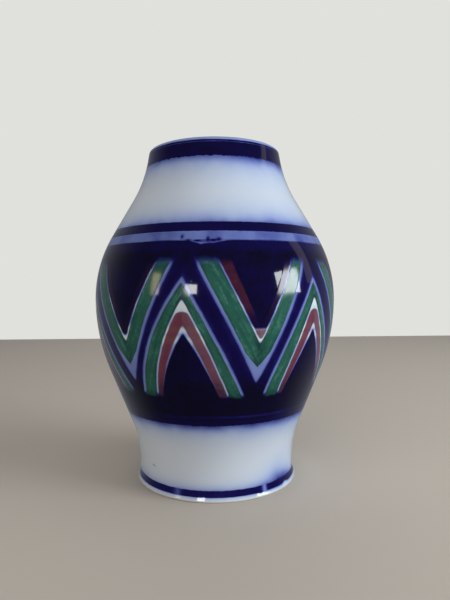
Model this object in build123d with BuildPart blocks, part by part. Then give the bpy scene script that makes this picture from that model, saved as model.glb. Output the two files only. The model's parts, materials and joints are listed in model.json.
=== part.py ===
from build123d import *

import os
from math import cos, radians, sin

# A small baluster-shaped porcelain vase, cast in one piece and glazed, with painted bands and chevrons.
#
# Millimetres. +Z is up, the origin is the centre of the foot on the surface the vase stands on, and -Y is
# the front. The fired body is one solid. The glaze is a thin coat on it, and each painted zone is the
# stretch of that coat which the pigment has dyed, so the zones lie flush with the clear glaze beside them.

# ---- Overall size -------------------------------------------------------------------------------------
HEIGHT = 150.0

# ---- Wall, its two glaze coats and the lip ------------------------------------------------------------
WALL = 3.0
GLAZE = 0.3
LIP_ROUND = WALL / 2

# ---- Outer line of the wall, from the waist above the foot up to the lip: tangent arcs and cones ------
WAIST_RADIUS = 35.7
WAIST_HEIGHT = 8.8
WAIST_ARC = 46.0
LOWER_LEAN = 21.8
LOWER_CONE = 26.5
LOWER_BELLY_ARC = 86.0
UPPER_BELLY_ARC = 56.0
SHOULDER_LEAN = 30.5
SHOULDER_CONE = 18.5
NECK_ARC = 58.0
COLLAR_LEAN = 10.4

# ---- Foot ---------------------------------------------------------------------------------------------
FLARE_ARC = 12.0
FLARE_LEAN = 25.0
FOOT_EDGE_ROUND = 0.6
FOOT_RING_WIDTH = 3.0
RECESS_HEIGHT = 4.0
RECESS_CORNER = 1.5
BARE_HEIGHT = 0.6

# ---- Inside bottom ------------------------------------------------------------------------------------
FLOOR_LEAN = 8.0
FLOOR_CORNER = 8.0

# ---- Heights of the painted bands on the outside ------------------------------------------------------
RIM_BAND = (141.5, 147.9)
SHOULDER_LINE = (109.3, 113.2)
PALE_LINE = (105.9, 109.3)
BELLY_FIELD = (33.0, 105.9)
FOOT_BAND = (2.0, 4.7)

# ---- Chevrons in the belly field, alternately peaks and vees, counted round from the front ------------
REPEATS = 6
PEAK_TURN = -13.0
VEE_TURN = 18.0
STROKE_REACH = 70.0

# A chevron is measured on the flat plane that touches the belly at its middle: the heights of its point
# outside and inside, the height where its legs end, and how far their edges are from its middle there.
PEAK_PALE = {"tip": 92.3, "inner_tip": 71.5, "ends": 44.5, "outer": 20.6, "inner": 11.3}
PEAK_GREEN = {"tip": 89.7, "inner_tip": 83.8, "ends": 45.3, "outer": 19.5, "inner": 14.6}
PEAK_RED = {"tip": 78.9, "inner_tip": 73.5, "ends": 45.3, "outer": 14.2, "inner": 11.7}
VEE_PALE = {"tip": 51.0, "inner_tip": 75.0, "ends": 99.4, "outer": 23.0, "inner": 9.8}
VEE_GREEN = {"tip": 58.4, "inner_tip": 65.5, "ends": 98.8, "outer": 21.2, "inner": 15.2}
VEE_RED = {"tip": 69.3, "inner_tip": 74.0, "ends": 98.4, "outer": 14.4, "inner": 10.3}


def wall_line(inset: float, first_lean: float = 0.0) -> Wire:
    """The wall's line from the waist up to the lip, moved into the wall by inset.

    It starts where the waist arc has reached first_lean degrees from upright.
    """
    start = (
        WAIST_RADIUS - inset + (WAIST_ARC + inset) * (1 - cos(radians(first_lean))),
        WAIST_HEIGHT + (WAIST_ARC + inset) * sin(radians(first_lean)),
    )
    heading = (sin(radians(first_lean)), cos(radians(first_lean)))
    with BuildLine() as line:
        waist = JernArc(start, heading, WAIST_ARC + inset, first_lean - LOWER_LEAN)
        lower = Line(waist @ 1, waist @ 1 + (waist % 1) * LOWER_CONE)
        belly = JernArc(lower @ 1, lower % 1, LOWER_BELLY_ARC - inset, LOWER_LEAN)
        shoulder = JernArc(belly @ 1, belly % 1, UPPER_BELLY_ARC - inset, SHOULDER_LEAN)
        upper = Line(shoulder @ 1, shoulder @ 1 + (shoulder % 1) * SHOULDER_CONE)
        neck = JernArc(upper @ 1, upper % 1, NECK_ARC + inset, COLLAR_LEAN - SHOULDER_LEAN)
        collar_top = HEIGHT - LIP_ROUND + (LIP_ROUND - inset) * sin(radians(COLLAR_LEAN))
        collar_length = (collar_top - (neck @ 1).Y) / cos(radians(COLLAR_LEAN))
        Line(neck @ 1, neck @ 1 + (neck % 1) * collar_length)
    return line.wire()


def foot_line(inset: float) -> Wire:
    """The outer line from the waist down over the flared foot to its rounded edge, moved in by inset."""
    edge_round = FOOT_EDGE_ROUND - inset
    flare_top = FLARE_ARC * sin(radians(FLARE_LEAN)) + FOOT_EDGE_ROUND * (1 + sin(radians(FLARE_LEAN)))
    with BuildLine() as line:
        upright = Line((WAIST_RADIUS - inset, WAIST_HEIGHT), (WAIST_RADIUS - inset, flare_top))
        flare = JernArc(upright @ 1, upright % 1, FLARE_ARC + inset, FLARE_LEAN)
        JernArc(flare @ 1, flare % 1, edge_round, -90 - FLARE_LEAN)
    return line.wire()


def vase_section(inset: float) -> Sketch:
    """Half of the vase cut through its axis, with every surface moved into the wall by inset."""
    outer = wall_line(inset)
    inner = wall_line(WALL - inset, FLOOR_LEAN)
    foot = foot_line(inset)
    recess_radius = (foot @ 1).X - FOOT_RING_WIDTH + inset
    with BuildSketch(Plane.XZ) as section:
        with BuildLine():
            add(outer)
            add(foot)
            add(inner)
            JernArc(outer @ 1, outer % 1, LIP_ROUND - inset, 180)
            corner = JernArc(inner @ 0, -(inner % 0), FLOOR_CORNER + inset, FLOOR_LEAN - 90)
            floor = Line(corner @ 1, (0, (corner @ 1).Y))
            axis = Line(floor @ 1, (0, RECESS_HEIGHT + inset))
            ceiling_corner = FilletPolyline(
                axis @ 1,
                (recess_radius, RECESS_HEIGHT + inset),
                (recess_radius, inset),
                radius=RECESS_CORNER + inset,
            )
            Line(ceiling_corner @ 1, foot @ 1)
        make_face()
    return section.sketch


def glaze_ring(coat: Part, low: float, high: float) -> Part:
    """The stretch of a coat between two heights."""
    with BuildPart() as ring:
        add(coat)
        with Locations((0, 0, low)):
            Cylinder(
                HEIGHT,
                high - low,
                align=(Align.CENTER, Align.CENTER, Align.MIN),
                mode=Mode.INTERSECT,
            )
    return ring.part


def chevron_prisms(shape: dict, first_turn: float) -> Part:
    """Flat-sided prisms of one chevron, repeated round the axis and long enough to pass through the wall.

    first_turn is the first chevron's place, in degrees from the front, positive towards +X.
    """
    turns = [radians(first_turn + step * 360 / REPEATS) for step in range(REPEATS)]
    planes = [
        Plane(origin=(0, 0, 0), x_dir=(cos(turn), sin(turn), 0), z_dir=(sin(turn), -cos(turn), 0))
        for turn in turns
    ]
    with BuildPart() as prisms:
        with BuildSketch(*planes):
            with BuildLine():
                Polyline(
                    (0, shape["tip"]),
                    (shape["outer"], shape["ends"]),
                    (shape["inner"], shape["ends"]),
                    (0, shape["inner_tip"]),
                    close=True,
                )
            make_face()
            mirror(about=Plane.YZ)
        extrude(amount=STROKE_REACH)
    return prisms.part


def painted_strokes(coat: Part, peak: dict, vee: dict) -> Part:
    """What lies in a coat within the prisms of a peak and a vee, six of each."""
    peaks = chevron_prisms(peak, PEAK_TURN)
    vees = chevron_prisms(vee, VEE_TURN)
    with BuildPart() as strokes:
        add(peaks)
        add(vees)
        add(coat, mode=Mode.INTERSECT)
    return strokes.part


# ---- Half sections through the axis -------------------------------------------------------------------
glazed_section = vase_section(0)

with BuildSketch(Plane.XZ) as bare_foot:
    add(glazed_section)
    Rectangle(HEIGHT, BARE_HEIGHT, align=(Align.MIN, Align.MIN), mode=Mode.INTERSECT)

with BuildSketch(Plane.XZ) as biscuit_section:
    add(vase_section(GLAZE))
    add(bare_foot.sketch)

# ---- The fired body: wall, closed bottom, foot ring and lip in one piece ------------------------------
with BuildPart() as porcelain_body:
    revolve(biscuit_section.sketch, axis=Axis.Z)

# ---- Every glaze coat at once, to be divided below ----------------------------------------------------
with BuildPart() as all_coats:
    revolve(glazed_section, axis=Axis.Z)
    add(porcelain_body.part, mode=Mode.SUBTRACT)

with BuildPart() as underside_glaze:
    add(all_coats.solids().sort_by(Axis.Z)[0])

with BuildPart() as wall_coat:
    add(all_coats.solids().sort_by(Axis.Z)[-1])

# ---- Everything inside the middle of the wall, which tells the outer coat from the inner one ----------
with BuildPart() as core:
    with BuildSketch(Plane.XZ):
        with BuildLine():
            middle = wall_line(WALL / 2)
            add(middle)
            Polyline(
                middle @ 1,
                (0, (middle @ 1).Y),
                (0, 0),
                (WAIST_RADIUS - WALL / 2, 0),
                middle @ 0,
            )
        make_face()
    revolve(axis=Axis.Z)

with BuildPart() as outer_coat:
    add(wall_coat.part)
    add(core.part, mode=Mode.SUBTRACT)
    Cylinder(
        HEIGHT,
        RIM_BAND[1],
        align=(Align.CENTER, Align.CENTER, Align.MIN),
        mode=Mode.INTERSECT,
    )

# ---- Clear glaze inside the vase and over its lip -----------------------------------------------------
with BuildPart() as inner_glaze:
    add(wall_coat.part)
    add(outer_coat.part, mode=Mode.SUBTRACT)

# ---- The whole belly zone, out of which the chevrons and their ground are divided ---------------------
belly_coat = glaze_ring(outer_coat.part, *BELLY_FIELD)
chevron_coat = painted_strokes(belly_coat, PEAK_PALE, VEE_PALE)

with BuildPart() as belly_field:
    add(belly_coat)
    add(chevron_coat, mode=Mode.SUBTRACT)

with BuildPart() as green_strokes:
    add(painted_strokes(belly_coat, PEAK_GREEN, VEE_GREEN))

with BuildPart() as red_strokes:
    add(painted_strokes(belly_coat, PEAK_RED, VEE_RED))

with BuildPart() as pale_outlines:
    add(chevron_coat)
    add(green_strokes.part, mode=Mode.SUBTRACT)
    add(red_strokes.part, mode=Mode.SUBTRACT)

# ---- The plain rings of the outer coat, from the bare foot up to the lip ------------------------------
with BuildPart() as foot_edge_glaze:
    add(glaze_ring(outer_coat.part, BARE_HEIGHT, FOOT_BAND[0]))

with BuildPart() as foot_band:
    add(glaze_ring(outer_coat.part, *FOOT_BAND))

with BuildPart() as lower_glaze:
    add(glaze_ring(outer_coat.part, FOOT_BAND[1], BELLY_FIELD[0]))

with BuildPart() as pale_line:
    add(glaze_ring(outer_coat.part, *PALE_LINE))

with BuildPart() as shoulder_line:
    add(glaze_ring(outer_coat.part, *SHOULDER_LINE))

with BuildPart() as neck_glaze:
    add(glaze_ring(outer_coat.part, SHOULDER_LINE[1], RIM_BAND[0]))

with BuildPart() as rim_band:
    add(glaze_ring(outer_coat.part, *RIM_BAND))

# ---- Labels and files ---------------------------------------------------------------------------------
porcelain_body.part.label = "porcelain_body"
underside_glaze.part.label = "underside_glaze"
inner_glaze.part.label = "inner_glaze"
foot_edge_glaze.part.label = "foot_edge_glaze"
foot_band.part.label = "foot_band"
lower_glaze.part.label = "lower_glaze"
belly_field.part.label = "belly_field"
pale_outlines.part.label = "pale_outlines"
green_strokes.part.label = "green_strokes"
red_strokes.part.label = "red_strokes"
pale_line.part.label = "pale_line"
shoulder_line.part.label = "shoulder_line"
neck_glaze.part.label = "neck_glaze"
rim_band.part.label = "rim_band"

os.makedirs("parts", exist_ok=True)
export_step(porcelain_body.part, "parts/porcelain_body.step")
export_step(underside_glaze.part, "parts/underside_glaze.step")
export_step(inner_glaze.part, "parts/inner_glaze.step")
export_step(foot_edge_glaze.part, "parts/foot_edge_glaze.step")
export_step(foot_band.part, "parts/foot_band.step")
export_step(lower_glaze.part, "parts/lower_glaze.step")
export_step(belly_field.part, "parts/belly_field.step")
export_step(pale_outlines.part, "parts/pale_outlines.step")
export_step(green_strokes.part, "parts/green_strokes.step")
export_step(red_strokes.part, "parts/red_strokes.step")
export_step(pale_line.part, "parts/pale_line.step")
export_step(shoulder_line.part, "parts/shoulder_line.step")
export_step(neck_glaze.part, "parts/neck_glaze.step")
export_step(rim_band.part, "parts/rim_band.step")
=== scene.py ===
import json
import logging
from dataclasses import dataclass, field
from enum import Enum
from math import cos, degrees, pi, radians, sin

import bmesh
import bpy
from mathutils import Color, Matrix, Vector

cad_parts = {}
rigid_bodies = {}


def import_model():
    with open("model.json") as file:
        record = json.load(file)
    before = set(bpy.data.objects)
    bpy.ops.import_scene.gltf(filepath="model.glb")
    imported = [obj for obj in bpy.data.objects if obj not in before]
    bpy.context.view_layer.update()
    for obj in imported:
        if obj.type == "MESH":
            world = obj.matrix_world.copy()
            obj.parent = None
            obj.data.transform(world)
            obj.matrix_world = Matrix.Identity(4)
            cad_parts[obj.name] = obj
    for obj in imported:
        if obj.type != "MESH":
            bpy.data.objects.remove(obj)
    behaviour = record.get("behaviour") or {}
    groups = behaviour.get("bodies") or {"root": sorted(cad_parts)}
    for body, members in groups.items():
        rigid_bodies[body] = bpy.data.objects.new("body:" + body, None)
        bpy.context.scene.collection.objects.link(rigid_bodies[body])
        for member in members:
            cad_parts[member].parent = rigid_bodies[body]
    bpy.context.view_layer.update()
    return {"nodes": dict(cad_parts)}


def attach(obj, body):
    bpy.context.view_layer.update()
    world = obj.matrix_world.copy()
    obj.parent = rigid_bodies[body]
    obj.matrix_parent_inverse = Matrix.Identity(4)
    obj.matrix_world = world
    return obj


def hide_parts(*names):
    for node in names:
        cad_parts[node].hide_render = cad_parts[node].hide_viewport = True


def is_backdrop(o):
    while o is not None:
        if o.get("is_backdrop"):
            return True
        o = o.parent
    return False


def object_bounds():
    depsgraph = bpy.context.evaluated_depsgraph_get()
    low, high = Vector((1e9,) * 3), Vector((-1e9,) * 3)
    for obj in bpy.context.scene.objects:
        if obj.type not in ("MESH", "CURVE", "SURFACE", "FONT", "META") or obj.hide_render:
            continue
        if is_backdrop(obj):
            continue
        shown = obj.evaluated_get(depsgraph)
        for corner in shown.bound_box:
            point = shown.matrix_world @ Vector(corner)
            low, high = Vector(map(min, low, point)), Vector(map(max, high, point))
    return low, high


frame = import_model()

# A small porcelain vase, hand-painted under its glaze. Its skin is a set of thin closed rings, one for each
# painted zone, all turned from one template, so that they meet flush. The painting is one pattern that
# every ring's material reads at its own place, so a colour that has run goes on over a ring's edge.
#
# Blender's metres are used for meshes and for the studio, and millimetres for the vase's sizes. The front
# is -Y. A place on the vase is given by its turn, in degrees from the front towards +X, and its height.

MM = 0.001
COLUMNS = 288
ROW = 1.0
INSIDE_ROW = 1.6
EDGE_ROW = 0.12
ARC_STEP = 9.0
SHARP_ANGLE = 50.0
JOIN_WITHIN = 1e-7
ROOT = "root"

Socket = bpy.types.NodeSocket
Colour = tuple[float, float, float, float]

log = logging.getLogger("vase")


def linear(red: int, green: int, blue: int) -> Colour:
    """A colour as a shader wants it.

    Args:
        red, green, blue: the colour as a paint chart gives it, 0 to 255.

    Returns:
        The same colour with light-linear parts and full cover.
    """
    chart = Color([part / 255 for part in (red, green, blue)])
    return (*chart.from_srgb_to_scene_linear(), 1.0)


def add(name: str, data: bpy.types.ID) -> bpy.types.Object:
    """Puts a new object with its data into the scene, at the origin."""
    thing = bpy.data.objects.new(name, data)
    bpy.context.scene.collection.objects.link(thing)
    return thing


def add_mesh(name: str, piece: bmesh.types.BMesh) -> bpy.types.Object:
    """Puts a finished piece into the scene as a new object, at the origin."""
    mesh = bpy.data.meshes.new(name)
    piece.to_mesh(mesh)
    piece.free()
    return add(name, mesh)


# ---- Writing node trees as formulas -------------------------------------------------------------------


class Wire:
    """A number that runs through a node tree, so that a pattern can be written as a formula."""

    def __init__(self, tree: bpy.types.NodeTree, socket: Socket) -> None:
        """Args: tree: the tree that it runs in. socket: the output that it comes from."""
        self.tree = tree
        self.socket = socket

    def maths(self, operation: str, *values: "Wire | float", clamp: bool = False) -> "Wire":
        """The result of one Math node.

        Args:
            operation: the node's operation.
            values: what goes into it, in order.
            clamp: whether the result is kept between 0 and 1.

        Returns:
            The wire that comes out of the node.
        """
        node = self.tree.nodes.new("ShaderNodeMath")
        node.operation = operation
        node.use_clamp = clamp
        for socket, value in zip(node.inputs, values):
            plug(self.tree, value, socket)
        return Wire(self.tree, node.outputs[0])

    def __add__(self, other: "Wire | float") -> "Wire":
        """The sum."""
        return self.maths("ADD", self, other)

    __radd__ = __add__

    def __sub__(self, other: "Wire | float") -> "Wire":
        """The difference."""
        return self.maths("SUBTRACT", self, other)

    def __rsub__(self, other: float) -> "Wire":
        """The difference, number first."""
        return self.maths("SUBTRACT", other, self)

    def __mul__(self, other: "Wire | float") -> "Wire":
        """The product."""
        return self.maths("MULTIPLY", self, other)

    def __truediv__(self, other: "Wire | float") -> "Wire":
        """The quotient."""
        return self.maths("DIVIDE", self, other)

    def least(self, other: "Wire | float") -> "Wire":
        """The smaller of the two."""
        return self.maths("MINIMUM", self, other)

    def most(self, other: "Wire | float") -> "Wire":
        """The larger of the two."""
        return self.maths("MAXIMUM", self, other)

    def size(self) -> "Wire":
        """The number without its sign."""
        return self.maths("ABSOLUTE", self)

    def root(self) -> "Wire":
        """The square root."""
        return self.maths("SQRT", self)

    def clamped(self) -> "Wire":
        """The number kept between 0 and 1."""
        return self.maths("ADD", self, 0.0, clamp=True)

    def sine(self) -> "Wire":
        """The sine of the number as degrees."""
        return self.maths("SINE", self * radians(1))

    def decay(self, reach: "Wire | float") -> "Wire":
        """How much is left after the number's distance, when it falls to a third over each reach."""
        return self.maths("EXPONENT", (self / reach) * -1.0)

    def rise(self, start: "Wire | float", end: "Wire | float") -> "Wire":
        """A smooth climb.

        Args:
            start: where it leaves 0.
            end: where it comes to 1. It may be less than start.

        Returns:
            The climb's value, 0 to 1.
        """
        node = self.tree.nodes.new("ShaderNodeMapRange")
        node.interpolation_type = "SMOOTHSTEP"
        for name, value in (("Value", self), ("From Min", start), ("From Max", end)):
            plug(self.tree, value, node.inputs[name])
        return Wire(self.tree, node.outputs[0])

    def near(self, middle: "Wire | float", reach: float) -> "Wire":
        """A round hump: 1 at middle, falling away to a third at reach on either side."""
        away = (self - middle) / reach
        return self.maths("EXPONENT", away * away * -1.0)

    def towards(self, other: "Wire | float", share: "Wire | float") -> "Wire":
        """A mix: this number where share is 0, the other where share is 1."""
        return self + (other - self) * share


def plug(tree: bpy.types.NodeTree, value: "Wire | Socket | Colour | float", socket: Socket) -> None:
    """Gives a socket its value.

    Args:
        tree: the tree that the socket is in.
        value: a wire or an output to link, or a plain value to set.
        socket: the input.
    """
    if isinstance(value, Wire):
        tree.links.new(value.socket, socket)
    elif isinstance(value, Socket):
        tree.links.new(value, socket)
    else:
        socket.default_value = value


class Bench:
    """A node tree with the few things that patterns and finishes are put together from."""

    def __init__(self, tree: bpy.types.NodeTree) -> None:
        """Args: tree: the tree to write in."""
        self.tree = tree

    def group(self, name: str, **values: Wire | Socket | float) -> bpy.types.ShaderNodeGroup:
        """A shared effect, placed in this tree.

        Args:
            name: the node group's name.
            values: its inputs, with spaces written as underscores.

        Returns:
            The group's node.
        """
        node = self.tree.nodes.new("ShaderNodeGroup")
        node.node_tree = bpy.data.node_groups[name]
        for key, value in values.items():
            plug(self.tree, value, node.inputs[key.replace("_", " ").capitalize()])
        return node

    def out(self, node: bpy.types.Node, name: str) -> Wire:
        """The wire from a node's named output."""
        return Wire(self.tree, node.outputs[name])

    def vector(self, x: Wire | float, y: Wire | float, z: Wire | float) -> Socket:
        """Three numbers as one vector."""
        node = self.tree.nodes.new("ShaderNodeCombineXYZ")
        for socket, value in zip(node.inputs, (x, y, z)):
            plug(self.tree, value, socket)
        return node.outputs[0]

    def parts(self, vector: Socket) -> tuple[Wire, Wire, Wire]:
        """A vector's three numbers."""
        node = self.tree.nodes.new("ShaderNodeSeparateXYZ")
        plug(self.tree, vector, node.inputs[0])
        return tuple(Wire(self.tree, socket) for socket in node.outputs)

    def bump(self, height: Wire | Socket) -> Socket:
        """The normal of a surface that stands up by a height in millimetres."""
        node = self.tree.nodes.new("ShaderNodeBump")
        node.inputs["Distance"].default_value = MM
        plug(self.tree, height, node.inputs["Height"])
        return node.outputs[0]

    def noise(self, spot: Socket, scale: float, detail: float, seed: float) -> Wire:
        """Uneven ups and downs.

        Args:
            spot: where it is read, as a vector.
            scale: how many ups and downs there are to a unit of spot.
            detail: how many finer layers are added.
            seed: a number that gives another noise of the same kind.

        Returns:
            The noise, from about -1 to 1.
        """
        node = self.tree.nodes.new("ShaderNodeTexNoise")
        node.noise_dimensions = "4D"
        plug(self.tree, spot, node.inputs["Vector"])
        node.inputs["Scale"].default_value = scale
        node.inputs["Detail"].default_value = detail
        node.inputs["W"].default_value = seed
        return Wire(self.tree, node.outputs[0]) * 2.0 - 1.0

    def blend(self, share: Wire | float, under: Socket | Colour, over: Socket | Colour) -> Socket:
        """Two colours mixed.

        Args:
            share: how much of the second shows, 0 to 1.
            under: the first colour or its socket.
            over: the second colour or its socket.

        Returns:
            The mixed colour.
        """
        node = self.tree.nodes.new("ShaderNodeMix")
        node.data_type = "RGBA"
        for socket, value in zip((node.inputs[0], node.inputs[6], node.inputs[7]), (share, under, over)):
            plug(self.tree, value, socket)
        return node.outputs[2]


class Effect(Bench):
    """A shared node group while it is written: named numbers go in, masks, colours and heights come out."""

    def __init__(self, name: str) -> None:
        """Args: name: the group's name, by which a finish places it."""
        super().__init__(bpy.data.node_groups.new(name, "ShaderNodeTree"))
        self.entry = self.tree.nodes.new("NodeGroupInput")
        self.exit = self.tree.nodes.new("NodeGroupOutput")

    def takes(self, *names: str) -> list[Wire]:
        """Named numbers that go in."""
        for name in names:
            self.tree.interface.new_socket(name=name, in_out="INPUT", socket_type="NodeSocketFloat")
        return [Wire(self.tree, self.entry.outputs[name]) for name in names]

    def takes_spot(self) -> Socket:
        """The vector Spot, which goes in."""
        self.tree.interface.new_socket(name="Spot", in_out="INPUT", socket_type="NodeSocketVector")
        return self.entry.outputs["Spot"]

    def gives(self, name: str, value: Wire | Socket, kind: str = "Float") -> None:
        """A named result that comes out, of the kind Float, Color or Vector."""
        self.tree.interface.new_socket(name=name, in_out="OUTPUT", socket_type=f"NodeSocket{kind}")
        plug(self.tree, value, self.exit.inputs[name])


# ---- The painting: the effects that the zones share ---------------------------------------------------
#
# A depth of cobalt runs from 0, none, to 1, as deep as it goes. A noise is written with its scale, its
# detail and its seed, in that order.


@dataclass(frozen=True)
class Inks:
    """The colours of the painting, as a shader wants them. Cobalt's go from no depth to the deepest."""

    cobalt: tuple[tuple[float, Colour], ...] = (
        (0.00, (0.755, 0.80, 0.855, 1.0)),
        (0.14, (0.57, 0.655, 0.81, 1.0)),
        (0.32, (0.36, 0.445, 0.73, 1.0)),
        (0.50, (0.165, 0.22, 0.53, 1.0)),
        (0.64, (0.080, 0.105, 0.36, 1.0)),
        (0.78, (0.019, 0.017, 0.165, 1.0)),
        (0.90, (0.0060, 0.0030, 0.066, 1.0)),
        (1.00, (0.0035, 0.0024, 0.017, 1.0)),
    )
    green_light: Colour = (0.072, 0.245, 0.170, 1.0)
    green: Colour = (0.020, 0.120, 0.072, 1.0)
    green_dark: Colour = (0.006, 0.048, 0.028, 1.0)
    red_light: Colour = (0.20, 0.080, 0.105, 1.0)
    red: Colour = (0.17, 0.024, 0.040, 1.0)
    red_dark: Colour = (0.055, 0.012, 0.024, 1.0)
    iron_speck: Colour = (0.10, 0.085, 0.035, 1.0)
    inside: Colour = (0.80, 0.80, 0.79, 1.0)


INKS = Inks()


@dataclass(frozen=True)
class Edge:
    """One painted edge of a chevron: a line down or up from a point on the chevron's middle.

    tip is the point's height, ends the height where the line stops, and left and right how far it has
    then gone to each side, in degrees. bow is how much each side swells on the way.
    """

    tip: float
    ends: float
    left: float
    right: float
    bow_left: float = 0.0
    bow_right: float = 0.0


@dataclass(frozen=True)
class Chevron:
    """A chevron of three painted layers, with the turn of the first of six.

    way is 1 where it opens upwards and -1 where it opens downwards. Its pale outline runs along the
    outside, as wide as outline says on the left and on the right, and wider by its taper towards the
    point. The green lies inside the outline and the red inside the green, past a gap. A cap is the height
    where a colour's blunt point begins, and a stop the two heights between which the brush lifts off at
    the end of a leg. Widths are in millimetres.
    """

    name: str
    turn: float
    way: float
    outside: Edge
    outline: tuple[float, float]
    taper: float
    green_cap: float
    green_inside: Edge
    gap: tuple[float, float]
    red_cap: float
    red_inside: Edge
    pale_inside: Edge
    pale_stop: tuple[float, float]
    green_stop: tuple[float, float]
    red_stop: tuple[float, float]


PEAK = Chevron(
    name="peak",
    turn=-13.0,
    way=-1.0,
    outside=Edge(92.3, 45.2, 24.2, 26.5, 0.45, -0.03),
    outline=(1.15, 1.15),
    taper=0.0,
    green_cap=89.8,
    green_inside=Edge(83.8, 45.3, 15.8, 19.1, 0.50, 0.05),
    gap=(0.55, 0.5),
    red_cap=79.2,
    red_inside=Edge(73.8, 45.3, 12.5, 14.2, 0.35, 0.12),
    pale_inside=Edge(71.0, 45.3, 12.6, 14.4, 0.35, 0.12),
    pale_stop=(44.9, 47.4),
    green_stop=(44.6, 46.1),
    red_stop=(44.9, 46.6),
)
VEE = Chevron(
    name="vee",
    turn=18.2,
    way=1.0,
    outside=Edge(51.0, 98.8, 26.4, 23.4, 0.04, 0.0),
    outline=(1.15, 1.2),
    taper=0.33,
    green_cap=57.7,
    green_inside=Edge(67.2, 98.8, 17.0, 15.9, 0.05, 0.0),
    gap=(0.5, 0.35),
    red_cap=68.7,
    red_inside=Edge(73.2, 98.4, 11.4, 11.9, 0.05, 0.0),
    pale_inside=Edge(73.4, 98.4, 11.4, 11.9, 0.05, 0.0),
    pale_stop=(100.4, 95.0),
    green_stop=(100.0, 96.0),
    red_stop=(99.4, 96.0),
)
REPEAT = 60.0
SWAY = 0.9
SPREAD = 0.04
BELLY_RADIUS = 53.0
STROKE_LEAN = 28.0
ARC_TO_MM = radians(1) * BELLY_RADIUS * cos(radians(STROKE_LEAN))
TAPER_REACH = 5.6


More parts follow.
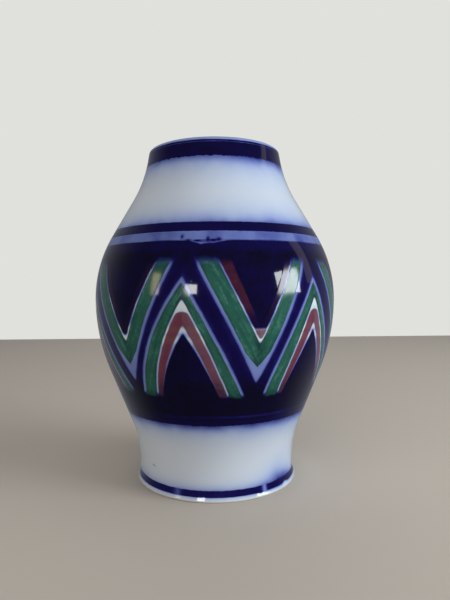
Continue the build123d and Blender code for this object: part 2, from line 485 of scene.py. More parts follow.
class Painting:
    """Writes the node groups of the painting, each once."""

    def write(self) -> None:
        """Writes every group, in the order in which they use each other."""
        for group in (self.place, self.cobalt_colour, self.band, self.edge, self.glaze, self.stain):
            group()
        self.chevron(PEAK)
        self.chevron(VEE)

    def place(self) -> None:
        """Where a point is on the vase: its turn, its height and its spot, in degrees and millimetres."""
        effect = Effect("place")
        tree = effect.tree
        here = tree.nodes.new("ShaderNodeTexCoord")
        scaled = tree.nodes.new("ShaderNodeVectorMath")
        scaled.operation = "SCALE"
        tree.links.new(here.outputs["Object"], scaled.inputs[0])
        scaled.inputs["Scale"].default_value = 1 / MM
        x, y, z = effect.parts(scaled.outputs[0])
        effect.gives("Turn", x.maths("ARCTAN2", x, y * -1.0) * degrees(1))
        effect.gives("Height", z)
        effect.gives("Spot", scaled.outputs[0], "Vector")

    def cobalt_colour(self) -> None:
        """The colour of white porcelain under a depth of cobalt, from none to as deep as it goes."""
        effect = Effect("cobalt colour")
        [depth] = effect.takes("Depth")
        ramp = effect.tree.nodes.new("ShaderNodeValToRGB")
        stops = ramp.color_ramp.elements
        for _ in range(len(INKS.cobalt) - len(stops)):
            stops.new(0.5)
        for stop, (position, colour) in zip(stops, INKS.cobalt):
            stop.position = position
            stop.color = colour
        plug(effect.tree, depth, ramp.inputs[0])
        effect.gives("Color", ramp.outputs[0], "Color")

    def band(self) -> None:
        """A brushed cobalt band, with uneven edges from which the colour has run into the white."""
        effect = Effect("band")
        height, low, high = effect.takes("Height", "Low", "High")
        spot = effect.takes_spot()
        ragged_low, ragged_high = effect.takes("Ragged low", "Ragged high")
        run_down, run_up = effect.takes("Run down", "Run up")
        strength, soft, full = effect.takes("Strength", "Soft", "Full")
        drift = effect.noise(spot, 0.05, 1.0, 3.0)
        teeth = effect.noise(spot, 0.55, 3.0, 7.0)
        wander = drift * 0.5 + teeth
        under = low + wander * ragged_low - height
        over = height - (high + (drift * 0.5 - teeth) * ragged_high)
        away = under.most(over)
        core = away.rise(soft, soft * -0.8)
        patchy = effect.noise(spot, 0.10, 2.0, 1.0) * 0.5 + 1.0
        below = (low + drift * 0.5 * ragged_low - height).most(0.0)
        above = (height - high - drift * 0.5 * ragged_high).most(0.0)
        run = below.decay(run_down).least(above.decay(run_up)) * strength * patchy
        cover = full + effect.noise(spot, 0.3, 3.0, 5.0) * 0.06
        effect.gives("Depth", run.most(core * cover))

    def edge(self) -> None:
        """How far a point is outside one painted edge of a chevron, in millimetres."""
        effect = Effect("edge")
        off, side, height = effect.takes("Off middle", "Side", "Height")
        tip, ends, left, right = effect.takes("Tip", "Ends", "Left", "Right")
        bow_left, bow_right = effect.takes("Bow left", "Bow right")
        reach = left.towards(right, side)
        bow = bow_left.towards(bow_right, side)
        share = (height - tip) / (ends - tip)
        line = reach * share * (1.0 + bow * (1.0 - share))
        effect.gives("Away", (off - line) * ARC_TO_MM)

    def chevron(self, shape: Chevron) -> None:
        """Six hand-painted chevrons of a kind: masks for their layers and the streaks of the brush."""
        effect = Effect(shape.name)
        turn, height = effect.takes("Turn", "Height")
        spot = effect.takes_spot()
        local = turn.maths("WRAP", turn - shape.turn, REPEAT / 2, -REPEAT / 2)
        number = (turn - shape.turn - local) / REPEAT
        local = local + (number * 2 * REPEAT).sine() * SWAY
        side = local.maths("GREATER_THAN", local, 0.0)
        stretch = 1.0 + (number * REPEAT).sine() * SPREAD
        waver = effect.noise(spot, 0.045, 1.0, 11.0) * 0.55 + effect.noise(spot, 0.35, 2.0, 2.0) * 0.22
        off = ((local * local + 0.35).root() - 0.45) * stretch + waver

        def away(edge: Edge, loose: Wire | float = 0.0) -> Wire:
            """How far a point is outside an edge, which may wander a little by itself."""
            node = effect.group("edge", off_middle=off, side=side, height=height, **vars(edge))
            return effect.out(node, "Away") + loose

        own = effect.noise(spot, 0.16, 2.0, 21.0)
        outline = side * (shape.outline[1] - shape.outline[0]) + shape.outline[0]
        gap = side * (shape.gap[1] - shape.gap[0]) + shape.gap[0]
        pale_outside = away(shape.outside)
        beyond = (TAPER_REACH - (height - shape.green_cap) * shape.way).most(0.0)
        green_outside = pale_outside + outline + beyond * shape.taper + own * 0.18
        green_inside = away(shape.green_inside, own * -0.16)
        red_outside = green_inside + gap + own * 0.12
        red_inside = away(shape.red_inside, own * 0.2)
        pale_inside = away(shape.pale_inside)
        lift = effect.noise(spot, 0.5, 1.0, 31.0) * 0.7
        blunt = (off * off * 0.16).least(off * 0.6) + lift * 0.3

        def stop(reach: tuple[float, float]) -> Wire:
            """The brush lifting off at the end of a leg: 0 past it, 1 before it."""
            return (height + lift).rise(*reach)

        def cap(level: float) -> Wire:
            """The blunt point of a colour: 0 beyond it, 1 on the legs' side of it."""
            return ((height - level) * shape.way - blunt).rise(-0.35, 0.35)

        pale = pale_outside.rise(0.42, -0.45) * pale_inside.rise(-0.35, 0.5) * stop(shape.pale_stop)
        green = green_outside.rise(0.18, -0.3) * green_inside.rise(-0.2, 0.25)
        green = green * stop(shape.green_stop) * cap(shape.green_cap)
        red = red_outside.rise(0.15, -0.3) * red_inside.rise(-0.28, 0.3)
        red = red * stop(shape.red_stop) * cap(shape.red_cap)
        along = height * 0.10 + number * 3.0 + side * 17.0
        results = {
            "Pale": pale,
            "Green": green,
            "Red": red,
            "Outside": pale_outside,
            "Inside": pale_inside,
            "Between": green_inside,
            "Streaks": effect.noise(effect.vector(pale_outside * 0.75, along, 0.0), 1.0, 3.0, 4.0),
            "Fold": off.rise(3.4, 0.4),
            "Point": off.rise(3.0, 1.7),
            "Side": side,
            "Number": number,
            "Rim": green_outside.near(-0.15, 0.45).most(green_inside.near(0.2, 0.4)),
        }
        for name, value in results.items():
            effect.gives(name, value)

    def glaze(self) -> None:
        """The skin of the glaze: its roughness, and its slight waves and pits as a height in millimetres."""
        effect = Effect("glaze")
        spot = effect.takes_spot()
        [enamel] = effect.takes("Enamel")
        waves = effect.noise(spot, 0.06, 1.0, 41.0) * 0.012
        peel = effect.noise(spot, 1.1, 1.0, 43.0) * 0.0007
        pits = effect.tree.nodes.new("ShaderNodeTexVoronoi")
        plug(effect.tree, spot, pits.inputs["Vector"])
        pits.inputs["Scale"].default_value = 0.16
        pit = Wire(effect.tree, pits.outputs["Distance"]).rise(0.045, 0.015)
        wear = effect.noise(spot, 0.09, 3.0, 47.0)
        effect.gives("Roughness", 0.055 + wear.rise(-0.2, 0.9) * 0.05 + enamel * 0.07 + pit * 0.15)
        effect.gives("Height", waves + peel - pit * 0.012 + enamel * 0.03)

    def stain(self) -> None:
        """The faint clouds of blue and warm grey that the kiln leaves in white glaze, with more blue towards
        a turn of 60 degrees, whose share comes out as Side.
        """
        effect = Effect("stain")
        spot = effect.takes_spot()
        [turn] = effect.takes("Turn")
        clouds = effect.noise(spot, 0.035, 2.0, 53.0)
        right = (turn + 30.0).sine()
        effect.gives("Depth", (clouds * 0.035 + right * 0.03 + 0.035).most(0.0))
        effect.gives("Side", right * 0.5 + 0.5)


# ---- Finishes -----------------------------------------------------------------------------------------


@dataclass(frozen=True)
class Band:
    """A painted band, with the sizes in millimetres.

    It lies between low and high, with uneven edges as soft as soft says. Its colour is full deep, and has
    run down and up into the white, where it starts with its strength.
    """

    low: float
    high: float
    ragged_low: float = 0.12
    ragged_high: float = 0.12
    run_down: float = 2.0
    run_up: float = 2.0
    strength: float = 0.5
    soft: float = 0.35
    full: float = 0.93


RIM_BAND = Band(
    low=141.5, high=147.9,
    ragged_low=0.75, ragged_high=0.15, run_down=4.2, run_up=0.8, soft=0.5, full=0.89,
)
SHOULDER_LINE = Band(
    low=109.3, high=113.2,
    ragged_low=0.18, ragged_high=0.16, run_down=4.0, run_up=3.6, full=0.88,
)
PALE_LINE = Band(
    low=105.4, high=109.8,
    ragged_low=0.1, ragged_high=0.1, run_down=1.0, run_up=1.0, soft=0.5, full=0.48,
)
BELLY_FIELD = Band(
    low=33.0, high=105.9,
    ragged_low=0.35, ragged_high=0.15, run_down=3.2, run_up=0.9, strength=0.66, soft=0.5, full=1.0,
)
FOOT_BAND = Band(low=2.0, high=4.7, ragged_high=0.2, run_down=0.5, soft=0.3, full=0.84)


class Finish:
    """What every finish has: a material that knows its place on the vase. Most add a colour under glaze."""

    enamel: Wire | float = 0.0
    refraction = 1.5

    def __init__(self, name: str) -> None:
        """Args: name: the material's name."""
        self.material = bpy.data.materials.new(name)
        self.material.use_nodes = True
        self.bench = Bench(self.material.node_tree)
        self.shader = self.material.node_tree.nodes["Principled BSDF"]
        here = self.bench.group("place")
        self.turn = self.bench.out(here, "Turn")
        self.height = self.bench.out(here, "Height")
        self.spot = here.outputs["Spot"]

    def noise(self, scale: float, detail: float, seed: float) -> Wire:
        """Uneven ups and downs over the vase, as Bench.noise makes them."""
        return self.bench.noise(self.spot, scale, detail, seed)

    def cobalt(self, depth: Wire) -> Socket:
        """The colour of a depth of cobalt."""
        return self.bench.group("cobalt colour", depth=depth).outputs[0]

    def band(self, band: Band, **changes: Wire | float) -> Wire:
        """The depth of one band's cobalt.

        Args:
            band: the band.
            changes: inputs of the band's effect that differ from the band's own.

        Returns:
            The depth, with what has run out of the band.
        """
        values = dict(vars(band), **changes)
        return self.bench.out(self.bench.group("band", height=self.height, spot=self.spot, **values), "Depth")

    def colour(self) -> Socket:
        """The surface's colour. It may also set enamel, which says where enamel stands, 0 to 1."""
        raise NotImplementedError

    def make(self) -> bpy.types.Material:
        """The material, with the colour and the glaze over it joined to the shader."""
        colour = self.colour()
        skin = self.bench.group("glaze", spot=self.spot, enamel=self.enamel)
        self.shade(colour, skin.outputs["Roughness"], skin.outputs["Height"])
        self.shader.inputs["IOR"].default_value = self.refraction
        return self.material

    def shade(self, colour: Socket, roughness: Wire | Socket, height: Wire | Socket) -> None:
        """Joins a surface to the shader.

        Args:
            colour: its colour.
            roughness, height: how rough it is and how far it stands up, as wires or outputs.
        """
        values = {"Base Color": colour, "Roughness": roughness, "Normal": self.bench.bump(height)}
        for name, value in values.items():
            plug(self.bench.tree, value, self.shader.inputs[name])


class BandedFinish(Finish):
    """White porcelain under clear glaze, with whatever bands reach into the zone.

    The places of the foot band's own marks are each a turn and its reach; the pale break among them is partly
    the band's own thinning and partly a painted highlight. The pale line's edges are the heights between
    which it starts and stops, and a smudge is a turn, a height and its two reaches.
    """

    foot_splash = (48.0, 17.0)
    foot_notch = (55.5, 3.0)
    foot_drip = (30.6, 1.2)
    foot_wear = (-26.9, 3.2)
    # The pale break is partly thin cobalt and partly a painted highlight: a glint on the glaze laid in as
    # less cobalt.
    foot_break = (34.0, 2.1)
    line_low_edge = (105.0, 106.0)
    line_high_edge = (110.2, 109.0)
    line_deepest = 0.66
    smudge_depth = 0.30
    smudge_marks = (
        (-14.5, 107.2, 0.8, 0.9),
        (-11.6, 105.7, 1.3, 0.6),
        (-7.6, 105.6, 1.4, 0.4),
        (-3.0, 106.3, 0.7, 0.9),
        (-0.6, 105.7, 1.2, 0.5),
        (1.8, 106.1, 1.1, 0.7),
    )

    def depth(self) -> Wire:
        """The depth of all the cobalt in or near the zone."""
        stain = self.bench.group("stain", spot=self.spot, turn=self.turn)
        right = self.bench.out(stain, "Side")
        rim = self.band(RIM_BAND, strength=0.50 + right * 0.12)
        shoulder = self.band(SHOULDER_LINE, strength=0.34 + right * 0.16)
        field = self.band(BELLY_FIELD, strength=0.60 + right * 0.10)
        splash = self.turn.near(*self.foot_splash)
        notch, drip = self.turn.near(*self.foot_notch) * 0.6, self.turn.near(*self.foot_drip) * 0.5
        foot = self.band(
            FOOT_BAND,
            low=FOOT_BAND.low + notch - drip,
            strength=0.30 + splash * 0.28 + right * 0.06,
            run_up=1.8 + splash * 2.2,
        )
        streaky = self.bench.noise(self.bench.vector(self.turn * 0.8, self.height * 0.5, 0.0), 1.0, 2.0, 61.0)
        worn = self.turn.near(*self.foot_wear) * (0.20 + streaky * 0.10)
        # Paler where the band is worn thin; at the break the paleness is also a painted highlight, a glint
        # laid in as less cobalt.
        worn = worn + self.turn.near(*self.foot_break) * 0.44
        foot = (foot - worn * foot.rise(0.5, 0.78)).most(0.0)
        pale = self.band(PALE_LINE) + self.noise(0.12, 3.0, 71.0) * 0.05
        shown = self.height.rise(*self.line_low_edge) * self.height.rise(*self.line_high_edge)
        line = pale.least(self.line_deepest) * shown
        return self.bench.out(stain, "Depth") + rim.most(shoulder).most(field).most(foot).most(line)

    def smudges(self) -> Wire:
        """The extra depth of the drips and dots of cobalt, where the belly nearly touches the pale line."""
        total = self.height * 0.0
        for turn, height, wide, tall in self.smudge_marks:
            total = total + self.turn.near(turn, wide) * self.height.near(height, tall)
        return total * self.smudge_depth

    def colour(self) -> Socket:
        """The zone's colour."""
        return self.cobalt((self.depth() + self.smudges()).least(0.97))


class LowerFinish(BandedFinish):
    """The white zone above the foot, with one small slanting iron speck burnt into it."""

    speck_turn = -49.0
    speck_height = 11.3
    speck_slant = 0.12

    def colour(self) -> Socket:
        """The zone's colour, with the speck."""
        slanted = self.height + (self.turn - self.speck_turn) * self.speck_slant
        speck = self.turn.near(self.speck_turn, 1.5) * slanted.near(self.speck_height, 0.30)
        return self.bench.blend(speck * 0.8, super().colour(), INKS.iron_speck)


class LipFinish(Finish):
    """Clear glaze inside and over the lip, with a little of the rim band's blue on the rounding."""

    lip_height = 150.0
    blue_height = 148.7
    crest = (149.35, 149.8)
    outer_radii = (28.5, 29.1)
    band_top = (147.4, 147.9)
    pale_inside = (147.0, 138.0)

    def colour(self) -> Socket:
        """The colour of the lip and of the inside."""
        stain = self.bench.out(self.bench.group("stain", spot=self.spot, turn=self.turn), "Depth")
        outside = self.outside()
        rim = self.band(RIM_BAND, high=self.blue_height, run_up=0.5, strength=0.50) * outside
        crest = self.height.rise(*self.crest) * (0.60 + self.noise(0.25, 2.0, 81.0) * 0.15)
        inside = (1.0 - outside) * (self.lip_height - self.height).decay(2.6) * 0.42
        colour = self.cobalt(stain + rim.most(crest).most(inside).most(outside * 0.34))
        deep = self.height.rise(*self.pale_inside) * (1.0 - outside)
        return self.bench.blend(deep * 0.85, colour, INKS.inside)

    def outside(self) -> Wire:
        """1 on the outside of the lip, 0 inside it."""
        x, y, _ = self.bench.parts(self.spot)
        return (x * x + y * y).root().rise(*self.outer_radii) * self.height.rise(*self.band_top)


class BellyFinish(BandedFinish):
    """The dark belly, with its peaks and vees in pale blue, green and red.

    A pair of heights is where something starts and where it is complete. A place is a height or a turn
    and its reach.
    """

    green_ends = ((49.5, 45.5), (92.0, 99.0))
    red_ends = ((58.0, 46.5), (79.5, 83.0))
    arm_red = ((75.5, 84.0), (101.0, 94.0))
    point_red = (73.2, 71.6)
    bright_zone = ((46.0, 58.0), (104.0, 92.0))
    low_line_height = 36.9
    low_line_place = (20.0, 26.0)
    thin_edges = ((34.3, 1.3), (104.0, 2.2))
    patch_turn = -3.8
    patch_top = (103.4, 105.2)
    bare_point = (68.8, 70.4)
    white_points = ((81.5, 3.6), (68.6, 1.8), (72.4, 1.6))
    shut_arm = (71.0, 75.0)

    def chevrons(self, name: str) -> dict[str, Wire]:
        """The masks of one kind of chevron, by name."""
        node = self.bench.group(name, turn=self.turn, height=self.height, spot=self.spot)
        return {socket.name: Wire(self.bench.tree, socket) for socket in node.outputs}

    def green(self, shape: dict[str, Wire]) -> Socket:
        """The brushed green, darker along its edges, where it is laid twice and where the brush lifts."""
        grain = self.noise(0.75, 3.0, 91.0)
        low, high = self.green_ends
        ends = self.height.rise(*low).most(self.height.rise(*high)) * 0.55
        dark = shape["Rim"] * 0.50 + shape["Fold"] * 0.55 + shape["Streaks"] + grain * 0.45 + ends + 0.05
        light = (shape["Streaks"] * -1.0 - grain * 0.5).rise(0.0, 0.6) * 0.85
        tone = self.bench.blend(light, INKS.green, INKS.green_light)
        return self.bench.blend(dark.clamped(), tone, INKS.green_dark)

    def red(self, shape: dict[str, Wire]) -> Socket:
        """The brushed iron red, thinner and pinker down the right-hand leg."""
        thin = shape["Side"] * 0.55 + 0.12 + shape["Streaks"] * 0.35
        tone = self.bench.blend(thin.clamped(), INKS.red, INKS.red_light)
        patches = self.noise(0.5, 3.0, 95.0)
        low, high = self.red_ends
        worn = self.height.rise(*low) * 0.95 + self.height.rise(*high) * 0.5
        dark = shape["Fold"] * 0.15 + worn + shape["Streaks"].rise(0.1, 0.8) * 0.5 + patches * 0.45 + 0.08
        return self.bench.blend(dark.clamped(), tone, INKS.red_dark)

    def vee_red_shown(self, vee: dict[str, Wire]) -> Wire:
        """How much of a vee's red the cobalt has left bare: some of it up the left arm, and the point."""
        some = ((vee["Number"] * 2 * REPEAT + 90.0).sine() * 0.5 + 0.5) * (1.0 - vee["Side"] * 0.85)
        patchy = 0.7 + self.noise(0.22, 2.0, 93.0) * 0.5
        low, high = self.arm_red
        arm = self.height.rise(*low) * self.height.rise(*high) * some * patchy
        return 0.03 + arm * 0.72 + self.vee_point(vee) * 0.85

    def vee_point(self, vee: dict[str, Wire]) -> Wire:
        """The point of the front vee, where the red meets the white."""
        return self.height.rise(*self.point_red) * vee["Point"] * vee["Number"].near(0.0, 0.4)

    def field_depth(self, peak: dict[str, Wire], vee: dict[str, Wire]) -> Wire:
        """The depth of the ground's cobalt, which is brighter beside the strokes and in the thin low line."""
        clouds = self.noise(0.055, 2.0, 97.0)
        beside = peak["Outside"].size().decay(2.6).most(vee["Outside"].size().decay(2.6))
        low, high = self.bright_zone
        in_zone = self.height.rise(*low) * self.height.rise(*high)
        inner = (peak["Inside"] * -1.0).most(0.0).decay(2.4).most((vee["Inside"] * -1.0).most(0.0).decay(2.4))
        low_line = self.height.near(self.low_line_height + self.noise(0.03, 1.0, 99.0) * 0.5, 0.6)
        shown = 0.35 + self.turn.near(*self.low_line_place) * 0.65
        bright = beside * 0.12 * in_zone + inner * 0.03 * in_zone + clouds * 0.03 + low_line * shown * 0.16
        low, high = self.thin_edges
        ends = self.height.near(*low) * 0.07 + self.height.near(*high) * 0.07
        return (1.0 - bright - ends).least(1.0)

    def ground(self, peak: dict[str, Wire], vee: dict[str, Wire]) -> Wire:
        """The depth of the dark ground, with the paler patch that hangs into its top edge."""
        hanging = self.turn.near(self.patch_turn, 6.4) * (1.5 + self.noise(0.5, 2.0, 103.0) * 0.8)
        ground = self.band(BELLY_FIELD, full=self.field_depth(peak, vee), high=BELLY_FIELD.high - hanging)
        line = self.height.rise(*self.patch_top) * (0.47 + self.turn.near(self.patch_turn, 8.0) * 0.24)
        return ground.most(line)

    def strokes(self, peak: dict[str, Wire], vee: dict[str, Wire]) -> Wire:
        """The depth of the pale strokes, which are whiter in the gaps that the other colours leave."""
        wash = 0.47 + self.noise(0.13, 2.0, 101.0) * 0.07
        closeness = peak["Outside"].near(0.0, 0.6).most(vee["Outside"].near(0.0, 0.6)) * 0.10
        clear = (peak["Between"] * -1.0).rise(-0.3, 0.3).most((vee["Between"] * -1.0).rise(-0.3, 0.3))
        peak_gap, vee_point, vee_gap = (self.height.near(*place) for place in self.white_points)
        apex = peak_gap.most(vee_point).most(vee_gap)
        along = peak["Between"].rise(-2.2, -1.2) * 0.13
        shut = vee["Between"].rise(0.4, -0.1) * (1.0 - peak["Pale"]) * self.height.rise(*self.shut_arm)
        return wash + closeness - clear * (0.02 + along + apex * 0.32) + shut * 0.16

    def colour(self) -> Socket:
        """The belly's colour. A vee's red covers the pale stroke under it, except at the point."""
        peak, vee = self.chevrons(PEAK.name), self.chevrons(VEE.name)
        covered = (1.0 - self.vee_point(vee)) * vee["Between"].rise(-0.2, -1.0)
        covered = covered * self.height.rise(*self.bare_point)
        pale = peak["Pale"].most(vee["Pale"] * (1.0 - covered))
        depth = self.ground(peak, vee).towards(self.strokes(peak, vee), pale) + self.smudges()
        colour = self.cobalt(depth.least(1.0))
        for shape, shown in ((peak, 0.95), (vee, self.vee_red_shown(vee))):
            colour = self.bench.blend(shape["Red"] * shown, colour, self.red(shape))
            colour = self.bench.blend(shape["Green"] * 0.96, colour, self.green(shape))
        self.enamel = peak["Green"].most(vee["Green"]).most(peak["Red"]).most(vee["Red"])
        return colour


class BiscuitFinish(Finish):
    """Fired porcelain with no glaze on it: the bare foot ring, a little grey where it has stood."""

    clean = linear(226, 223, 214)
    soiled = linear(168, 158, 142)
    roughness = 0.62
    wear_height = 0.25

    def make(self) -> bpy.types.Material:
        """The material, greyer and unglazed down to the flat that it stands on."""
        grain = self.noise(2.4, 4.0, 111.0)
        patchy = 0.45 + self.noise(0.35, 3.0, 113.0) * 0.4
        worn = self.height.rise(self.wear_height, 0.0) * patchy
        share = worn * 0.8 + grain * 0.08
        colour = self.bench.blend(share.clamped(), self.clean, self.soiled)
        self.shade(colour, self.roughness + grain * 0.08, grain * 0.01)
        return self.material


# ---- Shapes -------------------------------------------------------------------------------------------


class Template:
    """A turner's template: the vase's outline, drawn upright beside the axis as tangent arcs and runs."""

    def __init__(self, radius: float, height: float, lean: float, row: float = ROW) -> None:
        """Starts the outline.

        Args:
            radius, height: its first point.
            lean: the way it sets out, in degrees from straight up, positive outwards.
            row: about how far apart its points are on a gentle curve.
        """
        self.mesh = bmesh.new()
        self.point = self.mesh.verts.new((radius * MM, 0, height * MM))
        self.lean = lean
        self.row = row

    def ahead(self) -> Vector:
        """The way the outline is heading."""
        return Vector((sin(radians(self.lean)), 0, cos(radians(self.lean))))

    def run(self, length: float) -> None:
        """A straight run of a length in millimetres."""
        steps = max(1, round(length / self.row))
        for _ in range(steps):
            self.point = bmesh.ops.extrude_vert_indiv(self.mesh, verts=[self.point])["verts"][0]
            bmesh.ops.translate(self.mesh, verts=[self.point], vec=self.ahead() * (length / steps * MM))

    def run_to_height(self, height: float) -> None:
        """A straight run that stops at a height."""
        self.run((height - self.point.co.z / MM) / cos(radians(self.lean)))

    def run_to_axis(self) -> None:
        """A level run to the vase's axis."""
        self.run(self.point.co.x / MM)

    def arc(self, radius: float, turn: float) -> None:
        """A round stretch, tangent to what comes before.

        Args:
            radius: its radius.
            turn: how far it turns, in degrees, positive outwards on the way up.
        """
        across = Vector((cos(radians(self.lean)), 0, -sin(radians(self.lean)))) * (1 if turn > 0 else -1)
        length = radius * radians(abs(turn))
        steps = max(round(length / self.row), round(abs(turn) / ARC_STEP), 1)
        made = bmesh.ops.spin(
            self.mesh,
            geom=[self.point],
            cent=self.point.co + across * (radius * MM),
            axis=(0, 1, 0),
            angle=radians(turn),
            steps=steps,
        )
        self.point = next(part for part in made["geom_last"] if isinstance(part, bmesh.types.BMVert))
        self.lean += turn


class Facing(Enum):
    """Which side of a ring is seen."""

    OUTWARDS = 1.0
    INWARDS = -1.0


@dataclass
class Zone:
    """One ring of the vase's skin: where it lies, what it replaces and how it is finished."""

    name: str
    low: float
    high: float
    nodes: tuple[str, ...]
    slot: str
    finish: type[Finish]


@dataclass
class Vase:
    """The vase's sizes, in millimetres and degrees, and the ways its skin is turned and dressed."""

    wall: float = 3.0
    glaze: float = 0.3
    waist_radius: float = 35.7
    waist_height: float = 8.8
    waist_arc: float = 46.0
    lower_lean: float = 21.8
    lower_cone: float = 26.5
    lower_belly_arc: float = 86.0
    upper_belly_arc: float = 56.0
    shoulder_lean: float = 30.5
    shoulder_cone: float = 18.5
    neck_arc: float = 58.0
    collar_lean: float = 10.4
    flare_arc: float = 12.0
    flare_lean: float = 25.0
    foot_round: float = 0.6
    foot_ring: float = 3.0
    bare_height: float = 0.6
    recess_height: float = 4.0
    recess_corner: float = 1.5
    floor_lean: float = 8.0
    floor_corner: float = 8.0
    height: float = field(default_factory=lambda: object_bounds()[1][2] / MM)

    def zones(self) -> list[Zone]:
        """The rings of the outside, from the foot up."""
        strokes = ("belly_field", "pale_outlines", "green_strokes", "red_strokes")
        field_low, field_high = BELLY_FIELD.low, BELLY_FIELD.high
        line, rim = SHOULDER_LINE, RIM_BAND
        clear, cobalt, pale = "clear_glaze", "cobalt_glaze", "pale_cobalt_glaze"
        return [
            Zone("foot_edge", self.bare_height, FOOT_BAND.low, ("foot_edge_glaze",), clear, BandedFinish),
            Zone("foot_band_ring", FOOT_BAND.low, FOOT_BAND.high, ("foot_band",), cobalt, BandedFinish),
            Zone("lower_white", FOOT_BAND.high, field_low, ("lower_glaze",), clear, LowerFinish),
            Zone("painted_belly", field_low, field_high, strokes, cobalt, BellyFinish),
            Zone("pale_line_ring", field_high, line.low, ("pale_line",), pale, BandedFinish),
            Zone("shoulder_line_ring", line.low, line.high, ("shoulder_line",), cobalt, BandedFinish),
            Zone("neck_white", line.high, rim.low, ("neck_glaze",), clear, BandedFinish),
            Zone("rim_band_ring", rim.low, rim.high, ("rim_band",), cobalt, BandedFinish),
        ]

    def ring_radius(self) -> float:
        """The outer radius of the flat that the vase stands on."""
        flare = self.flare_arc * (1 - cos(radians(self.flare_lean)))
        return self.waist_radius + flare - self.foot_round * cos(radians(self.flare_lean))

    def outside(self) -> Template:
        """The outline from the flat of the foot up to the top of the rim band."""
        line = Template(self.ring_radius(), 0, 90)
        line.arc(self.foot_round, -90 - self.flare_lean)
        line.arc(self.flare_arc, self.flare_lean)
        line.run_to_height(self.waist_height)
        line.arc(self.waist_arc, self.lower_lean)
        line.run(self.lower_cone)
        line.arc(self.lower_belly_arc, -self.lower_lean)
        line.arc(self.upper_belly_arc, -self.shoulder_lean)
        line.run(self.shoulder_cone)
        line.arc(self.neck_arc, self.shoulder_lean - self.collar_lean)
        line.run_to_height(RIM_BAND.high)
        return line

    def lip_and_inside(self, start: Template) -> Template:
        """The outline from the top of the rim band, over the lip and down inside to the axis."""
        lip_round = self.wall / 2
        line = Template(start.point.co.x / MM, start.point.co.z / MM, -self.collar_lean, INSIDE_ROW)
        line.run_to_height(self.height - lip_round * (1 - sin(radians(self.collar_lean))))
        line.arc(lip_round, -180)
        line.run_to_height(self.neck_top() - self.wall * sin(radians(self.collar_lean)))
        line.arc(self.neck_arc + self.wall, self.collar_lean - self.shoulder_lean)
        line.run(self.shoulder_cone)
        line.arc(self.upper_belly_arc - self.wall, self.shoulder_lean)
        line.arc(self.lower_belly_arc - self.wall, self.lower_lean)
        line.run(self.lower_cone)
        line.arc(self.waist_arc + self.wall, self.floor_lean - self.lower_lean)
        line.arc(self.floor_corner, 90 - self.floor_lean)
        line.run_to_axis()
        return line

    def neck_top(self) -> float:
        """The height where the outside of the neck meets the straight collar."""
        leans = (self.lower_lean, self.shoulder_lean, self.collar_lean)
        lower, shoulder, collar = (radians(lean) for lean in leans)
        rises = (
            self.waist_height,
            self.waist_arc * sin(lower),
            self.lower_cone * cos(lower),
            self.lower_belly_arc * sin(lower),
            self.upper_belly_arc * sin(shoulder),
            self.shoulder_cone * cos(shoulder),
            self.neck_arc * (sin(shoulder) - sin(collar)),
        )
        return sum(rises)

    def underside(self) -> Template:
        """The outline of the glazed recess under the foot, from the bare ring to the axis."""
        line = Template(self.ring_radius() - self.foot_ring, self.bare_height, 0, INSIDE_ROW)
        line.run_to_height(self.recess_height - self.recess_corner)
        line.arc(self.recess_corner, -90)
        line.run_to_axis()
        return line

    def cut(self, line: Template, low: float, high: float) -> bmesh.types.BMesh:
        """The stretch of an outline between two heights, with a narrow row along each cut."""
        piece = line.mesh.copy()
        for height, below, above in (
            (low, True, False),
            (high, False, True),
            (low + EDGE_ROW, False, False),
            (high - EDGE_ROW, False, False),
        ):
            bmesh.ops.bisect_plane(
                piece,
                geom=[*piece.verts, *piece.edges],
                plane_co=(0, 0, height * MM),
                plane_no=(0, 0, 1),
                clear_inner=below,
                clear_outer=above,
            )
        return piece

    def turn(self, piece: bmesh.types.BMesh, facing: Facing, name: str) -> bpy.types.Object:
        """Turns an outline into a closed ring of glaze.

        Args:
            piece: the outline.
            facing: which side is seen. The glaze's thickness is put behind it.
            name: the new object's name.

        Returns:
            The ring, at the origin.
        """
        bmesh.ops.spin(
            piece,
            geom=[*piece.verts, *piece.edges],
            cent=(0, 0, 0),
            axis=(0, 0, 1),
            angle=2 * pi,
            steps=COLUMNS,
            use_merge=True,
        )
        bmesh.ops.remove_doubles(piece, verts=piece.verts, dist=JOIN_WITHIN)
        bmesh.ops.recalc_face_normals(piece, faces=piece.faces)
        upright = max(piece.faces, key=lambda face: face.normal.xy.length)
        if upright.normal.xy.dot(upright.calc_center_median().xy) * facing.value < 0:
            bmesh.ops.reverse_faces(piece, faces=piece.faces)
        bmesh.ops.solidify(piece, geom=piece.faces, thickness=self.glaze * MM)
        for edge in piece.edges:
            edge.smooth = not edge.is_manifold or edge.calc_face_angle() < radians(SHARP_ANGLE)
        for face in piece.faces:
            face.smooth = True
        return add_mesh(name, piece)

    def place(self, ring: bpy.types.Object, material: bpy.types.Material, slot: str, *nodes: str) -> None:
        """Dresses a ring and says what it stands for."""
        ring.data.materials.append(material)
        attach(ring, ROOT)
        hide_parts(*nodes)
        log.info("%s: %d faces, for %s", ring.name, len(ring.data.polygons), ", ".join(nodes))

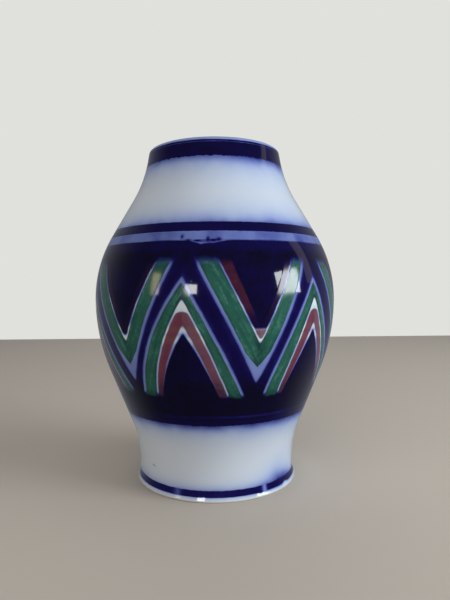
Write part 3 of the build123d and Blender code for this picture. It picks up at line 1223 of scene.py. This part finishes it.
    def build(self) -> None:
        """Makes every ring of the skin and dresses the bare body."""
        outline = self.outside()
        for zone in self.zones():
            material = zone.finish(zone.name).make()
            ring = self.turn(self.cut(outline, zone.low, zone.high), Facing.OUTWARDS, zone.name)
            self.place(ring, material, zone.slot, *zone.nodes)
        for name, finish, line, node in (
            ("lip_and_inside", LipFinish, self.lip_and_inside(outline), "inner_glaze"),
            ("underside", BandedFinish, self.underside(), "underside_glaze"),
        ):
            ring = self.turn(line.mesh, Facing.INWARDS, name)
            self.place(ring, finish(name).make(), "clear_glaze", node)
        body = frame["nodes"]["porcelain_body"]
        bare = BiscuitFinish("bare_porcelain").make()
        for slot in body.material_slots:
            slot.material = bare
        log.info("porcelain_body: bare porcelain")


# ---- The studio ---------------------------------------------------------------------------------------


BELLY_MIDDLE = Vector((0, 0, 85.0)) * MM


@dataclass(frozen=True)
class Softbox:
    """A soft rectangular light that faces the vase.

    turn is its direction in degrees from the front towards +X, rise its height as an angle, width and
    tall its size and away its distance from the belly, in metres. One that isn't mirrored casts light but
    doesn't show in the glaze.
    """

    name: str
    turn: float
    rise: float
    width: float
    tall: float
    power: float
    colour: tuple[float, float, float]
    away: float = 0.9
    mirrored: bool = True

    def hang(self) -> None:
        """Makes the light."""
        data = bpy.data.lights.new(self.name, "AREA")
        data.shape = "RECTANGLE"
        data.size, data.size_y = self.width, self.tall
        data.energy = self.power
        data.color = self.colour
        lamp = add(self.name, data)
        turn, rise = radians(self.turn), radians(self.rise)
        way = Vector((sin(turn) * cos(rise), -cos(turn) * cos(rise), sin(rise)))
        lamp.location = BELLY_MIDDLE + way * self.away
        lamp.rotation_euler = (-way).to_track_quat("-Z", "Y").to_euler()
        lamp.visible_glossy = self.mirrored


@dataclass
class Studio:
    """A pale floor, a pale room, soft lights and the camera.

    Sizes and places are in metres and angles in degrees. The lens and the film are in millimetres.
    """

    floor_side: float = 1.16
    floor_gap: float = 0.05 * MM
    floor_colour: Colour = linear(205, 194, 180)
    floor_roughness: float = 0.75
    floor_shine: float = 0.2
    light_in_front: Colour = (0.045, 0.048, 0.055, 1.0)
    light_behind: Colour = (0.22, 0.23, 0.25, 1.0)
    backdrop: Colour = linear(224, 225, 220)
    eye: tuple[float, float, float] = (0.0, -0.2372, 0.0897)
    pitch: float = 1.974
    yaw: float = 1.111
    roll: float = -0.408
    lens: float = 30.0
    film: float = 36.0
    nearest: float = 0.01
    lights: tuple[Softbox, ...] = (
        Softbox("window", 69, 12, 0.40, 0.26, 4.2, (0.92, 0.97, 1.0)),
        Softbox("side_window", 97, 24, 0.16, 0.50, 0.12, (1.0, 0.90, 0.82)),
        Softbox("small_window", -21, 9, 0.16, 0.12, 0.8, (1.0, 1.0, 1.0)),
        Softbox("warm_lamp", -54, 12, 0.12, 0.26, 0.5, (1.0, 0.78, 0.50)),
        Softbox("right_fill", 70, 32, 0.9, 0.9, 2.8, (0.86, 0.93, 1.0), mirrored=False),
        Softbox("front_fill", -14, 40, 0.9, 0.9, 2.0, (0.92, 0.96, 1.0), mirrored=False),
        Softbox("top_fill", 0, 84, 0.6, 0.6, 1.0, (0.95, 0.97, 1.0), mirrored=False),
        Softbox("back_fill", 180, 40, 0.9, 0.9, 1.6, (0.97, 0.98, 1.0), mirrored=False),
    )

    def floor(self) -> None:
        """A square of plain pale floor under the vase."""
        shape = bmesh.new()
        bmesh.ops.create_grid(shape, x_segments=1, y_segments=1, size=self.floor_side / 2)
        bmesh.ops.translate(shape, verts=shape.verts, vec=(0, 0, -self.floor_gap))
        floor = add_mesh("floor", shape)
        material = bpy.data.materials.new("floor")
        material.use_nodes = True
        shader = material.node_tree.nodes["Principled BSDF"]
        shader.inputs["Base Color"].default_value = self.floor_colour
        shader.inputs["Roughness"].default_value = self.floor_roughness
        shader.inputs["Specular IOR Level"].default_value = self.floor_shine
        floor.data.materials.append(material)
        floor.visible_glossy = False
        floor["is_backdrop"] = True

    def room(self) -> None:
        """Light from all round: pale behind the vase, dimmer in front, and pale wherever the camera looks."""
        world = bpy.data.worlds.new("room")
        world.use_nodes = True
        tree = world.node_tree
        bench = Bench(tree)
        way = tree.nodes.new("ShaderNodeTexCoord")
        _, back, _ = bench.parts(way.outputs["Generated"])
        colour = bench.blend(back.rise(-0.1, 0.75), self.light_in_front, self.light_behind)
        path = tree.nodes.new("ShaderNodeLightPath")
        seen = bench.blend(bench.out(path, "Is Camera Ray"), colour, self.backdrop)
        tree.links.new(seen, tree.nodes["Background"].inputs["Color"])
        bpy.context.scene.world = world

    def camera(self) -> None:
        """The camera, level with the belly and close to the vase."""
        data = bpy.data.cameras.new("camera")
        data.lens = self.lens
        data.sensor_width = self.film
        data.clip_start = self.nearest
        camera = add("camera", data)
        camera.location = self.eye
        facing = Matrix.Rotation(radians(-self.yaw), 4, "Z")
        level = facing @ Matrix.Rotation(radians(90 - self.pitch), 4, "X")
        turned = level @ Matrix.Rotation(radians(self.roll), 4, "Z")
        camera.rotation_euler = turned.to_euler()
        bpy.context.scene.camera = camera

    def build(self) -> None:
        """Sets up everything round the vase."""
        self.floor()
        self.room()
        self.camera()
        for light in self.lights:
            light.hang()
        bpy.context.scene.view_settings.view_transform = "Standard"


def main() -> None:
    """Builds the vase and the studio."""
    logging.basicConfig(level=logging.INFO, format="%(message)s")
    Painting().write()
    Vase().build()
    Studio().build()


if __name__ == "__main__":
    main()
